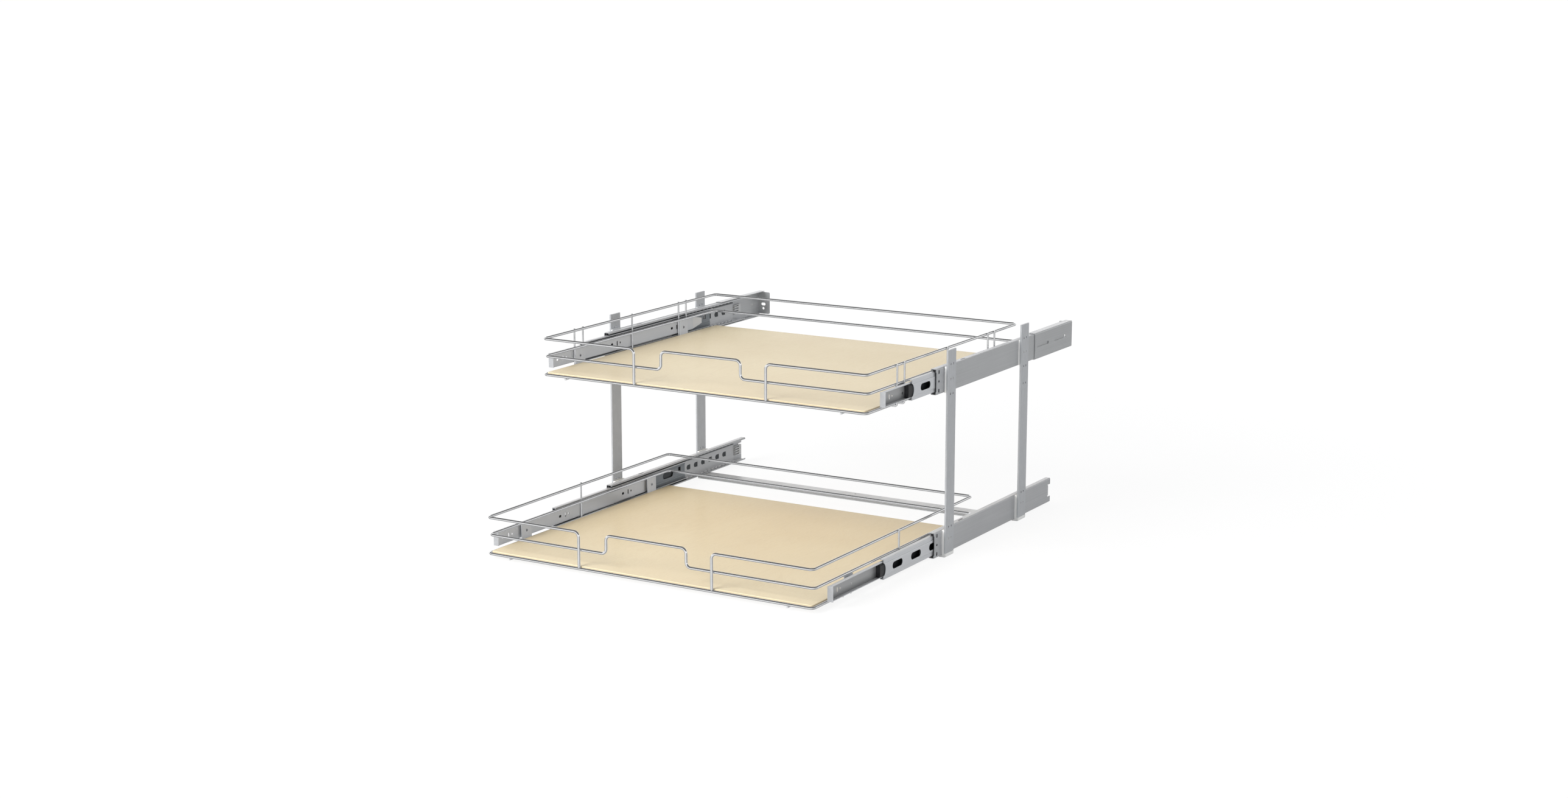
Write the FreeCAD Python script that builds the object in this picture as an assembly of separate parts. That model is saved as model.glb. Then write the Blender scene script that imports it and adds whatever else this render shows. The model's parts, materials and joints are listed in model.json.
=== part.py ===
import FreeCAD, Part
import math
import os

os.makedirs("parts", exist_ok=True)

# Two-tier pull-out cabinet organizer
# Millimetres. X to the right, Y into the cabinet, Z up. The origin lies on the cabinet floor, in the
# middle between the four uprights. The model stands as photographed, both tiers part way out.

V = FreeCAD.Vector
ALONG_X = V(1, 0, 0)
ALONG_Y = V(0, 1, 0)
ALONG_Z = V(0, 0, 1)

# Overall frame
half_width = 346.0
upright_width = 30.0
upright_pitch = 286.2
upright_bottom = 6.7
upright_top = 359.8
upright_depth = 3.2
upright_edge = 0.5
hole_diameter = 3.8
hole_pair_pitch = 9.3
upper_hole_pitch = 25.6
lower_fixing_rise = 6.0
lower_hole_pitch = 20.8
extra_hole_drop = 57.0
rivet_clearance = 0.1
rivet_chamfer = 0.4

# Feet and floor bars
foot_height = 3.3
foot_wall = 4.3
foot_toe = 7.0
foot_corner = 2.6
bar_width = 45.0
bar_offset = 11.0
bar_end_gap = 8.6
bar_sheet = 1.2
bar_bend = 1.2
bar_screw_diameter = 4.0
bar_screw_offset = 13.0

# Telescopic slides: u is measured outwards from their inboard face, v upwards from their middle
tier_rise = 283.8
slide_front = -186.0
slide_length = 466.0
slide_height = 45.0
slide_depth = 12.7
slide_gauge = 1.2
slide_bend = 1.3
lip_inset = 1.8
outer_lip = 3.0
middle_lip = 2.0
middle_height = 34.8
middle_short = 37.0
middle_band = 9.6
middle_step = 0.8
middle_step_bend = 0.65
inner_height = 25.6
inner_short = 18.0
inner_flange = 7.2
nose_length = 30.0
nose_tip = 5.0
tab_reach = 10.0
web_gap = 0.3

# Cages and balls
cage_sheet = 0.5
cage_bend = 0.8
race_clearance = 0.25
pocket_clearance = 0.3
outer_cage_short = 348.0
outer_ball_end = 10.0
outer_ball_inset = 4.1
outer_ball_pitch = 56.0
outer_wing = 2.7
inner_cage_short = 286.0
inner_ball_end = 15.0
inner_ball_inset = 2.8
inner_ball_pitch = 50.0
inner_wing = 1.3
window_end = 8.0
window_pitch = 25.7
window_length = 13.0
window_height = 9.5
inner_window_count = 3
inner_window_end = 16.0
inner_window_tie = 10.0
inner_window_height = 16.0
rear_strip_length = 180.0
rear_strip_window_start = 16.4
rear_strip_ball_pitch = 51.4

# Holes in the slides
end_notch_length = 11.0
end_notch_height = 23.0
end_hole_inset = 9.5
end_hole_diameter = 4.0
end_slot_rise = 16.0
end_slot_size = (3.6, 7.0)
flange_slot_start = 98.0
flange_slot_size = (2.6, 17.0)
flange_slot_inset = 8.3
middle_slot_start = 46.0
middle_slot_pitch = 65.0
middle_slot_size = (35.0, 12.0)
middle_latch_inset = 18.6
middle_latch_rise = 3.0
middle_latch_size = (9.0, 10.0)
scallop_radius = 14.0
scallop_depth = 5.0
inner_hole_start = 12.0
inner_hole_middle = 178.5
inner_hole_end = 73.0
inner_oval_size = (7.0, 4.5)
inner_slot_offset = 16.5
inner_slot_size = (3.0, 9.0)
inner_round_offset = 26.0
inner_round_diameter = 3.6

# Plastic stops and guides
stop_overhang = 5.0
stop_clearance = 0.3
stop_length = 22.0
stop_height = 19.0
stop_groove = 2.6
stop_groove_rows = 4
stop_groove_length = 14.0
stop_groove_depth = 3.0
guide_ahead = 12.0
guide_behind = 16.0
guide_clearance = 0.6
guide_round = 1.0
mouth_plug_length = 9.0
mouth_plug_ahead = 1.0
mouth_plug_width = 5.0
mouth_plug_hole = 1.8

# Upper rails and rear brackets
rail_sheet = 1.5
rail_extra = 0.5
rail_set_back = 28.5
rail_overrun = 44.0
rail_edge_round = 0.6
bracket_gap = 36.9
bracket_length = 160.0
bracket_sheet = 1.2
bracket_bend = 1.8
bracket_clearance = 0.3
bracket_wrap = 13.0
bracket_return = 25.4
bracket_flange_inset = 1.8
bracket_flange_round = 3.0
bracket_slot_size = (50.0, 5.0)
bracket_slot_start = 33.0
bracket_slot_pitch = 75.5
bracket_hole_inset = 11.0
bracket_oval_size = (10.0, 5.6)
bracket_oval_drop = 2.5
bracket_round_diameter = 5.0
bracket_round_drop = 11.0

# Baskets
basket_side_gap = 5.8
basket_overhang = 106.0
rim_pitch = 31.6
lower_basket_drop = 16.4
upper_basket_drop = 18.0
rim_wire = 4.8
cross_wire = 3.2
rim_corner = 8.0
front_bend = 9.0
leg_spread = 262.0
rise_spread = 158.0
post_pair = (154.5, 180.0)
post_overrun = 3.0
long_wire_spread = 548.0
long_wire_overrun = 2.0
long_wire_step_start = 8.0
long_wire_step = 12.0
long_wire_bend = 6.0
panel_thickness = 3.3
panel_clearance = 0.8
panel_edge_round = 1.2
plate_width = 28.0
plate_sheet = 1.6
plate_front_inset = 73.25
lower_plate_rear_inset = -14.5
upper_plate_rear_inset = 40.25
collar_diameter = 9.0
basket_set_back = 36.5
tube_rivet_diameter = 4.4
tube_rivet_bore = 3.0
tube_rivet_floor = 1.0
tube_rivet_head = 5.6
tube_rivet_head_height = 0.3

# Travel: how far out each tier stands, and how its inner pieces share that travel
lower_pull = 330.0
upper_pull = 161.7
shut_inner_front = -196.5
cage_gap = 2.0
inner_cage_shut_gap = 104.0
middle_share = 0.55

# Worked out from the sizes above
slide_outer_x = half_width - upright_depth - foot_wall
slide_inner_x = slide_outer_x - slide_depth
rail_x = slide_outer_x + rail_sheet
pad_x = half_width - upright_depth
lower_z = foot_height + slide_height / 2
upper_z = lower_z + tier_rise
slide_rear = slide_front + slide_length
middle_length = slide_length - middle_short
inner_length = slide_length - inner_short
outer_cage_length = slide_length - outer_cage_short
inner_cage_length = slide_length - inner_cage_short
outer_ball_count = int((outer_cage_length - 2 * outer_ball_end) / outer_ball_pitch) + 1
inner_ball_count = int((inner_cage_length - 2 * inner_ball_end) / inner_ball_pitch) + 1
window_count = int((outer_cage_length - 2 * window_end) / window_pitch)
middle_slot_count = int((middle_length - 2 * middle_slot_start) / middle_slot_pitch) + 1
inner_hole_groups = (inner_hole_start, inner_hole_middle, inner_length - inner_hole_end)
basket_side = slide_inner_x - basket_side_gap
basket_depth = inner_length + basket_overhang
upright_y = upright_pitch / 2
bracket_front = upright_y + upright_width / 2 + bracket_gap
stop_front = slide_rear - end_notch_length - stop_length + stop_overhang
shut_middle_front = stop_front - stop_clearance - middle_length
rear_strip_rear = stop_front - cage_gap
outer_cage_shut_rear = rear_strip_rear - rear_strip_length - cage_gap
inner_cage_shut_rear = stop_front - inner_cage_shut_gap
outer_cage_share = middle_share / 2
inner_cage_share = (1 + middle_share) / 2
outer_race = (slide_height - middle_height) / 2 - slide_gauge
inner_race = (middle_height - inner_height) / 2 - slide_gauge
outer_web_u = slide_depth - slide_gauge
outer_web_x = slide_inner_x + outer_web_u
outer_cage_u = outer_web_u - web_gap - cage_sheet / 2
rear_strip_u = outer_web_u - cage_sheet / 2
middle_band_u = outer_cage_u - cage_sheet / 2 - web_gap - slide_gauge / 2
middle_side_u = middle_band_u - middle_step
inner_cage_u = middle_side_u - slide_gauge / 2 - web_gap - cage_sheet / 2
lower_fixing_z = lower_z + lower_fixing_rise

# How far a cutter reaches past the middle of the wall it cuts
cutter_reach = 2.5

SIDES = (("left", -1), ("right", 1))
ENDS = (("front", -1), ("rear", 1))


# Drawing helpers
def save(name, solids):
    """Write one node: a single solid, or separate like solids side by side."""
    shape = solids[0] if len(solids) == 1 else Part.makeCompound(solids)
    shape.exportStep("parts/%s.step" % name)


def unit(vector):
    return vector * (1.0 / vector.Length)


def bend(before, corner, after, radius):
    """Start, middle and end of the arc that rounds a corner."""
    back = unit(before - corner)
    ahead = unit(after - corner)
    half = back.getAngle(ahead) / 2
    trim = radius / math.tan(half)
    middle = corner + unit(back + ahead) * (radius / math.sin(half) - radius)
    return corner + back * trim, middle, corner + ahead * trim


def path(corners, closed=True):
    """Wire through corners given as a point and a radius; radius 0 leaves a corner sharp."""
    count = len(corners)
    cuts = []
    for i, (point, radius) in enumerate(corners):
        is_end = not closed and i in (0, count - 1)
        if is_end or radius <= 0:
            cuts.append((point, None, point))
        else:
            cuts.append(bend(corners[i - 1][0], point, corners[(i + 1) % count][0], radius))
    edges = []
    for i in range(count):
        start, middle, end = cuts[i]
        if middle is not None:
            edges.append(Part.Arc(start, middle, end).toShape())
        following = cuts[(i + 1) % count][0]
        if (closed or i < count - 1) and (following - end).Length > 1e-6:
            edges.append(Part.LineSegment(end, following).toShape())
    return Part.Wire(edges)


def sheet_section(points, thickness, radius, normal):
    """Cross-section of a bent sheet from its centre line; normal is square to the section."""
    count = len(points)
    one_side = []
    other_side = []
    for i, point in enumerate(points):
        into = unit(point - points[i - 1]) if i > 0 else unit(points[1] - point)
        out = unit(points[i + 1] - point) if i < count - 1 else into
        across = unit(normal.cross(into) + normal.cross(out))
        reach = thickness / 2 / math.cos(into.getAngle(out) / 2)
        turn = normal.dot(into.cross(out))
        near = 0.0
        far = 0.0
        if abs(turn) > 1e-9:
            grow = thickness / 2 if turn < 0 else -thickness / 2
            near = max(radius + grow, 0.0)
            far = max(radius - grow, 0.0)
        one_side.append((point + across * reach, near))
        other_side.append((point - across * reach, far))
    return Part.Face(path(one_side + other_side[::-1]))


def slot_face(centre, long_way, short_way, length, height):
    """Face of a slot with half-round ends, in the plane of its two directions."""
    if height > length:
        return slot_face(centre, short_way, long_way, height, length)
    radius = height / 2
    a = long_way * (length / 2 - radius)
    b = short_way * radius
    near_end = Part.Arc(centre - a + b, centre - a - long_way * radius, centre - a - b).toShape()
    far_end = Part.Arc(centre + a - b, centre + a + long_way * radius, centre + a + b).toShape()
    lower_run = Part.LineSegment(centre - a - b, centre + a - b).toShape()
    upper_run = Part.LineSegment(centre + a + b, centre - a + b).toShape()
    return Part.Face(Part.Wire([near_end, lower_run, far_end, upper_run]))


def side_slot(x, y, z, length, height):
    """Cutter for a slot through a wall that faces sideways."""
    face = slot_face(V(x - cutter_reach, y, z), ALONG_Y, ALONG_Z, length, height)
    return face.extrude(ALONG_X * (2 * cutter_reach))


def side_hole(x, y, z, diameter, reach=cutter_reach):
    """Cutter for a round hole through a wall that faces sideways."""
    return Part.makeCylinder(diameter / 2, 2 * reach, V(x - reach, y, z), ALONG_X)


def block(x0, x1, y0, y1, z0, z1):
    corner = V(min(x0, x1), y0, z0)
    return Part.makeBox(abs(x1 - x0), y1 - y0, z1 - z0, corner)


def bent_wire(corners, diameter, closed=False):
    """Round wire bent along straight runs and arcs."""
    line = path(corners, closed)
    first = line.OrderedEdges[0]
    start = first.valueAt(first.FirstParameter)
    along = first.tangentAt(first.FirstParameter)
    section = Part.Face(Part.Wire(Part.Circle(start, along, diameter / 2).toShape()))
    return Part.Solid(line.makePipe(section).Shells[0])


def slide_point(side, u, y, z):
    """Point of a slide, u outwards from the slide's inboard face."""
    return V(side * (slide_inner_x + u), y, z)


def slide_profile(side, y, z, half_section, thickness, radius, length):
    """Rolled member: half its section, given as (u, v) from a free edge inwards, mirrored about v = 0."""
    lower = [slide_point(side, u, y, z - v) for u, v in half_section]
    upper = [slide_point(side, u, y, z + v) for u, v in reversed(half_section)]
    return sheet_section(lower + upper, thickness, radius, ALONG_Y).extrude(ALONG_Y * length)


# Uprights, feet and floor bars
def pair_places(end):
    """Where the two holes of a pair lie on a front or rear upright."""
    middle = end * upright_y
    return (middle - hole_pair_pitch / 2, middle + hole_pair_pitch / 2)


def upright(side, end):
    """Flat bar with eased edges and pairs of holes to hang the tiers in."""
    y0 = end * upright_y - upright_width / 2
    y1 = end * upright_y + upright_width / 2
    outer = side * half_width
    inner = side * pad_x
    places = [(inner, y0), (outer, y0), (outer, y1), (inner, y1)]
    section = Part.Face(path([(V(x, y, upright_bottom), upright_edge) for x, y in places]))
    bar = section.extrude(ALONG_Z * (upright_top - upright_bottom))
    middle = (outer + inner) / 2
    heights = [lower_fixing_z, lower_fixing_z + lower_hole_pitch]
    heights += [upper_z - upper_hole_pitch, upper_z, upper_z + upper_hole_pitch]
    if end > 0:
        heights.append(upper_z - extra_hole_drop)
    return bar.cut([side_hole(middle, y, z, hole_diameter) for z in heights for y in pair_places(end)])


def foot(side, end):
    """Moulded foot: a wall between slide and upright, and a rounded sole under both."""
    y0 = end * upright_y - upright_width / 2
    toe = side * (slide_outer_x - foot_toe)
    outer = side * half_width
    wall_in = side * slide_outer_x
    wall_out = side * pad_x
    top = foot_height + slide_height
    corners = [(V(toe, y0, 0), foot_corner), (V(outer, y0, 0), foot_corner)]
    corners += [(V(outer, y0, upright_bottom), 0), (V(wall_out, y0, upright_bottom), 0)]
    corners += [(V(wall_out, y0, top), 0), (V(wall_in, y0, top), 0)]
    corners += [(V(wall_in, y0, foot_height), 0), (V(toe, y0, foot_height), 0)]
    body = Part.Face(path(corners)).extrude(ALONG_Y * upright_width)
    middle = (wall_in + wall_out) / 2
    return body.cut([side_hole(middle, y, lower_fixing_z, hole_diameter) for y in pair_places(end)])


def spacer_pad(side, end):
    """Flat pad between the upper rail and an upright."""
    y0 = end * upright_y - upright_width / 2
    z0 = upper_z - slide_height / 2
    pad = block(side * rail_x, side * pad_x, y0, y0 + upright_width, z0, z0 + slide_height)
    middle = side * (rail_x + pad_x) / 2
    return pad.cut([side_hole(middle, y, upper_z, hole_diameter) for y in pair_places(end)])


def upright_rivet(side, y, z):
    """Flush rivet from the slide's web to the outer face of the upright."""
    radius = hole_diameter / 2 - rivet_clearance
    shank = Part.makeCylinder(radius, half_width - outer_web_x, V(outer_web_x, y, z), ALONG_X)
    rim = [edge for edge in shank.Edges if abs(edge.BoundBox.XMin - half_width) < 1e-6]
    rivet = shank.makeChamfer(rivet_chamfer, rim)
    return rivet if side > 0 else rivet.mirror(V(0, 0, 0), ALONG_X)


def floor_bar(end):
    """Shallow channel across the cabinet floor that keeps the two sides apart."""
    middle = end * (upright_y - bar_offset)
    reach = slide_outer_x - bar_end_gap
    y0 = middle - bar_width / 2 + bar_sheet / 2
    y1 = middle + bar_width / 2 - bar_sheet / 2
    top = foot_height - bar_sheet / 2
    line = [V(-reach, y0, 0), V(-reach, y0, top), V(-reach, y1, top), V(-reach, y1, 0)]
    bar = sheet_section(line, bar_sheet, bar_bend, ALONG_X).extrude(ALONG_X * (2 * reach))
    screw_place = V(0, middle + end * bar_screw_offset, 0)
    return bar.cut(Part.makeCylinder(bar_screw_diameter / 2, 2 * foot_height, screw_place))


# Telescopic slide members
def outer_member(side, z, fixing_z):
    """Fixed member: a C whose lips keep the balls in."""
    flange = slide_height / 2 - slide_gauge / 2
    lip = lip_inset + slide_gauge / 2
    web = slide_depth - slide_gauge / 2
    half_section = [(lip, slide_height / 2 - outer_lip), (lip, flange), (web, flange)]
    body = slide_profile(side, slide_front, z, half_section, slide_gauge, slide_bend, slide_length)
    web_x = side * (slide_inner_x + web)
    near = slide_front + end_hole_inset
    notch = block(side * outer_web_x, side * slide_outer_x, slide_rear - end_notch_length, slide_rear,
                  z - end_notch_height / 2, z + end_notch_height / 2)
    cuts = [notch, side_hole(web_x, near, z, end_hole_diameter)]
    cuts += [side_slot(web_x, near, z + rise, *end_slot_size) for rise in (-end_slot_rise, end_slot_rise)]
    cuts += [side_hole(web_x, y, fixing_z, hole_diameter) for _, end in ENDS for y in pair_places(end)]
    slot_x = side * (slide_inner_x + flange_slot_inset)
    slot_y = slide_front + flange_slot_start + flange_slot_size[1] / 2
    slot = slot_face(V(slot_x, slot_y, z + flange - slide_gauge), ALONG_Y, ALONG_X, flange_slot_size[1],
                     flange_slot_size[0])
    return body.cut(cuts + [slot.extrude(ALONG_Z * (2 * slide_gauge))])


def middle_member(side, z, front):
    """Middle member: balls run outside it and inside it, along its four corners."""
    flange = middle_height / 2 - slide_gauge / 2
    lip = lip_inset + slide_gauge / 2
    half_section = [(lip, middle_height / 2 - middle_lip), (lip, flange), (middle_side_u, flange)]
    half_section += [(middle_side_u, middle_band + middle_step), (middle_band_u, middle_band)]
    body = slide_profile(side, front, z, half_section, slide_gauge, middle_step_bend, middle_length)
    web_x = side * (slide_inner_x + middle_band_u)
    places = [front + middle_slot_start + middle_slot_pitch * k for k in range(middle_slot_count)]
    cuts = [side_slot(web_x, y, z, *middle_slot_size) for y in places]
    cuts.append(side_hole(web_x, front + scallop_depth - scallop_radius, z, 2 * scallop_radius))
    latch_length, latch_height = middle_latch_size
    latch_front = front + middle_length - middle_latch_inset - latch_length / 2
    latch_base = z + middle_latch_rise - latch_height / 2
    cuts.append(block(web_x - cutter_reach, web_x + cutter_reach, latch_front, latch_front + latch_length,
                      latch_base, latch_base + latch_height))
    return body.cut(cuts)


def inner_member(side, z, front, rivet_places, rivet_z):
    """Inner member on the basket: a channel with a bent tab in front and a flat nose behind."""
    edge = inner_flange
    flange = inner_height / 2 - slide_gauge / 2
    half_section = [(edge, flange), (slide_gauge / 2, flange)]
    body = slide_profile(side, front, z, half_section, slide_gauge, slide_bend, inner_length)
    rear = front + inner_length
    half = inner_height / 2 - slide_bend
    nose_line = [slide_point(side, 0, rear, z - half), slide_point(side, 0, rear + nose_length, z - nose_tip),
                 slide_point(side, 0, rear + nose_length, z + nose_tip), slide_point(side, 0, rear, z + half)]
    nose = Part.Face(Part.makePolygon(nose_line + nose_line[:1])).extrude(ALONG_X * (side * slide_gauge))
    tab = block(side * slide_inner_x, side * (slide_inner_x + tab_reach), front - slide_gauge, front,
                z - inner_height / 2, z + inner_height / 2)
    body = body.fuse([nose, tab]).removeSplitter()
    web_x = side * (slide_inner_x + slide_gauge / 2)
    cuts = [side_hole(web_x, y, rivet_z, tube_rivet_diameter + 2 * rivet_clearance) for y in rivet_places]
    for start in inner_hole_groups:
        cuts.append(side_slot(web_x, front + start, z, *inner_oval_size))
        cuts.append(side_slot(web_x, front + start + inner_slot_offset, z, *inner_slot_size))
        cuts.append(side_hole(web_x, front + start + inner_round_offset, z, inner_round_diameter))
    return body.cut(cuts)


# Ball cages
def ball_row(middle, count, pitch):
    return [middle + (k - (count - 1) / 2) * pitch for k in range(count)]


def d_window(side, y, z, web_u):
    """Cutter for a D-shaped window in a cage's web, its round end towards the front."""
    half = window_height / 2
    rear = y + window_length / 2
    shoulder = y - window_length / 2 + half
    x = side * (slide_inner_x + web_u) - cage_sheet
    corners = [V(x, shoulder, z - half), V(x, rear, z - half), V(x, rear, z + half), V(x, shoulder, z + half)]
    edges = [Part.LineSegment(corners[i], corners[i + 1]).toShape() for i in range(3)]
    edges.append(Part.Arc(corners[3], V(x, shoulder - half, z), corners[0]).toShape())
    return Part.Face(Part.Wire(edges)).extrude(ALONG_X * (2 * cage_sheet))


def cage(side, z, rear, length, web_u, ball, wing):
    """Sheet cage: a web along the slide with a wing above and below that spaces the balls."""
    ball_u, ball_v, diameter, places = ball
    half_section = [(ball_u - wing, ball_v), (web_u, ball_v)]
    body = slide_profile(side, rear - length, z, half_section, cage_sheet, cage_bend, length)
    pocket = diameter / 2 + pocket_clearance
    cuts = [Part.makeCylinder(pocket, 2 * cage_sheet, slide_point(side, ball_u, y, z + v - cage_sheet))
            for y in places for v in (-ball_v, ball_v)]
    return body.cut(cuts)


def outer_cage(side, z, rear, ball):
    body = cage(side, z, rear, outer_cage_length, outer_cage_u, ball, outer_wing)
    middle = rear - outer_cage_length / 2
    places = ball_row(middle, window_count, window_pitch)
    return body.cut([d_window(side, y, z, outer_cage_u) for y in places])


def rear_strip(side, z, ball):
    """Fixed rear cage, welded to the outer member's web in front of the stop."""
    body = cage(side, z, rear_strip_rear, rear_strip_length, rear_strip_u, ball, outer_wing)
    first = rear_strip_rear - rear_strip_length + rear_strip_window_start
    count = int((rear_strip_length - 2 * rear_strip_window_start) / window_pitch) + 1
    return body.cut([d_window(side, first + window_pitch * k, z, rear_strip_u) for k in range(count)])


def inner_cage(side, z, rear, ball):
    """Inner cage, its web open between narrow ties."""
    body = cage(side, z, rear, inner_cage_length, inner_cage_u, ball, inner_wing)
    open_length = inner_cage_length - 2 * inner_window_end - (inner_window_count - 1) * inner_window_tie
    size = open_length / inner_window_count
    first = rear - inner_cage_length + inner_window_end
    x = side * (slide_inner_x + inner_cage_u)
    half = inner_window_height / 2
    starts = [first + k * (size + inner_window_tie) for k in range(inner_window_count)]
    return body.cut([block(x - cage_sheet, x + cage_sheet, y, y + size, z - half, z + half) for y in starts])


def outer_track_ball(row):
    """Place across the slide, height, diameter and row of the balls between outer and middle members."""
    height = middle_height / 2 + outer_race / 2
    return outer_cage_u - outer_ball_inset, height, outer_race - 2 * race_clearance, row


def balls(side, z, ball):
    ball_u, ball_v, diameter, places = ball
    return [Part.makeSphere(diameter / 2, slide_point(side, ball_u, y, z + v))
            for y in places for v in (-ball_v, ball_v)]


# Plastic stops and guides
def rear_stop(side, z):
    """Grooved stop on the outer member's web, where the middle member comes to rest."""
    u0 = inner_flange + guide_clearance
    x0 = side * (slide_inner_x + u0)
    half = stop_height / 2
    body = block(x0, side * outer_web_x, stop_front, stop_front + stop_length, z - half, z + half)
    groove_x = side * (slide_inner_x + u0 + stop_groove_depth)
    pitch = stop_height / stop_groove_rows
    grooves = []
    for row in range(stop_groove_rows):
        low = z - half + (row + 0.5) * pitch - stop_groove / 2
        high = low + stop_groove
        grooves.append(block(x0, groove_x, stop_front, stop_front + stop_groove_length, low, high))
    return body.cut(grooves)


def front_guide(side, z, front):
    """Guide on the front of the middle member, running inside the inner one."""
    half = inner_height / 2 - slide_gauge - guide_clearance
    step = middle_band - guide_clearance
    u0 = slide_gauge + guide_clearance
    side_face = middle_side_u - slide_gauge / 2
    band_face = middle_band_u - slide_gauge / 2
    outline = [(u0, half, guide_round), (side_face, half, 0), (side_face, step, 0), (band_face, step, 0)]
    y0 = front - guide_ahead
    upper = [(slide_point(side, u, y0, z + v), radius) for u, v, radius in outline]
    lower = [(slide_point(side, u, y0, z - v), radius) for u, v, radius in reversed(outline)]
    return Part.Face(path(upper + lower)).extrude(ALONG_Y * (guide_ahead + guide_behind))


def mouth_plug(side, z, up):
    """Small insert in the mouth of a ball track of the outer member."""
    far = slide_height / 2 - slide_gauge
    near = middle_height / 2 + race_clearance
    u0 = outer_web_u - mouth_plug_width
    y0 = slide_front - mouth_plug_ahead
    outline = [(u0, near, 0), (outer_web_u, near, 0), (outer_web_u, far, slide_bend), (u0, far, 0)]
    corners = [(slide_point(side, u, y0, z + up * v), radius) for u, v, radius in outline]
    plug = Part.Face(path(corners)).extrude(ALONG_Y * mouth_plug_length)
    centre = slide_point(side, u0 + mouth_plug_width / 2, y0, z + up * (near + far) / 2)
    return plug.cut(Part.makeCylinder(mouth_plug_hole / 2, mouth_plug_length / 2, centre, ALONG_Y))


# Upper rails and rear brackets
def upper_rail(side):
    """Flat rail outside an upper slide, from its front upright to behind the slide's rear end."""
    half = (slide_height + rail_extra) / 2
    places = [(slide_outer_x, -half), (rail_x, -half), (rail_x, half), (slide_outer_x, half)]
    corners = [(V(side * x, slide_front + rail_set_back, upper_z + v), rail_edge_round) for x, v in places]
    plate = Part.Face(path(corners)).extrude(ALONG_Y * (slide_length - rail_set_back + rail_overrun))
    middle = side * (slide_outer_x + rail_sheet / 2)
    places = [y for _, end in ENDS for y in pair_places(end)]
    return plate.cut([side_hole(middle, y, upper_z, hole_diameter) for y in places])


def rear_bracket(side):
    """Sleeve that slides on the rear of an upper rail, with a flange for the cabinet's back."""
    inside = (slide_height + rail_extra) / 2 + bracket_clearance
    half = inside + bracket_sheet / 2
    web = rail_x + bracket_clearance + bracket_sheet / 2
    places = [(web - bracket_wrap, -half), (web, -half), (web, half), (web - bracket_wrap, half)]
    line = [V(side * x, bracket_front, upper_z + v) for x, v in places]
    sleeve = sheet_section(line, bracket_sheet, bracket_bend, ALONG_Y).extrude(ALONG_Y * bracket_length)
    rear = bracket_front + bracket_length
    outer = side * web
    tip = side * (web - bracket_return)
    flange_half = half - bracket_flange_inset
    base = rear - bracket_sheet
    low = upper_z - flange_half
    high = upper_z + flange_half
    corners = [(V(outer, base, low), 0), (V(tip, base, low), bracket_flange_round)]
    corners += [(V(tip, base, high), bracket_flange_round), (V(outer, base, high), 0)]
    flange = Part.Face(path(corners)).extrude(ALONG_Y * bracket_sheet)
    hole_x = side * (web - bracket_hole_inset)
    starts = [bracket_front + bracket_slot_start + bracket_slot_pitch * k for k in range(2)]
    cuts = [side_slot(outer, y, upper_z, *bracket_slot_size) for y in starts]
    oval = slot_face(V(hole_x, rear - 2 * bracket_sheet, upper_z - bracket_oval_drop), ALONG_X, ALONG_Z,
                     *bracket_oval_size)
    cuts.append(oval.extrude(ALONG_Y * (3 * bracket_sheet)))
    round_hole = V(hole_x, rear - 2 * bracket_sheet, upper_z - bracket_round_drop)
    cuts.append(Part.makeCylinder(bracket_round_diameter / 2, 3 * bracket_sheet, round_hole, ALONG_Y))
    return sleeve.fuse(flange).removeSplitter().cut(cuts)


# Baskets
class Basket:
    """Places shared by the pieces of one basket."""

    def __init__(self, slide_z, drop, inner_front, rear_inset):
        self.bottom = slide_z - drop
        self.middle = self.bottom + rim_pitch
        self.top = self.middle + rim_pitch
        self.front = inner_front - basket_set_back
        self.rear = self.front + basket_depth
        self.centre = (self.front + self.rear) / 2
        self.side = basket_side
        self.under = self.bottom - rim_wire / 2 - cross_wire / 2
        self.rivet_z = (self.bottom + self.middle) / 2
        self.rivet_places = [inner_front + plate_front_inset, inner_front + inner_length - rear_inset]


def top_rim(b):
    """Upper rim, whose two front ends turn down as legs to the bottom rim."""
    leg = leg_spread / 2
    foot_z = b.bottom + rim_wire / 2
    corners = [(V(-leg, b.front, foot_z), 0), (V(-leg, b.front, b.top), front_bend)]
    corners += [(V(-b.side, b.front, b.top), rim_corner), (V(-b.side, b.rear, b.top), rim_corner)]
    corners += [(V(b.side, b.rear, b.top), rim_corner), (V(b.side, b.front, b.top), rim_corner)]
    corners += [(V(leg, b.front, b.top), front_bend), (V(leg, b.front, foot_z), 0)]
    return bent_wire(corners, rim_wire)


def middle_rim(b):
    """Middle rim, one wire behind the legs, rising between them to the height of the top rim."""
    rise = rise_spread / 2
    front = b.front + rim_wire
    corners = [(V(rise, front, b.top), front_bend), (V(rise, front, b.middle), front_bend)]
    corners += [(V(b.side, front, b.middle), rim_corner), (V(b.side, b.rear, b.middle), rim_corner)]
    corners += [(V(-b.side, b.rear, b.middle), rim_corner), (V(-b.side, front, b.middle), rim_corner)]
    corners += [(V(-rise, front, b.middle), front_bend), (V(-rise, front, b.top), front_bend)]
    return bent_wire(corners, rim_wire, True)


def bottom_rim(b):
    places = [(-b.side, b.front), (b.side, b.front), (b.side, b.rear), (-b.side, b.rear)]
    return bent_wire([(V(x, y, b.bottom), rim_corner) for x, y in places], rim_wire, True)


def hoop(b, y):
    """Cross wire under the floor whose ends turn up outside all three rims."""
    x = b.side + rim_wire / 2 + cross_wire / 2
    bend_radius = rim_wire / 2 + cross_wire / 2
    high = b.top + post_overrun
    corners = [(V(-x, y, high), 0), (V(-x, y, b.under), bend_radius)]
    corners += [(V(x, y, b.under), bend_radius), (V(x, y, high), 0)]
    return bent_wire(corners, cross_wire)


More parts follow.
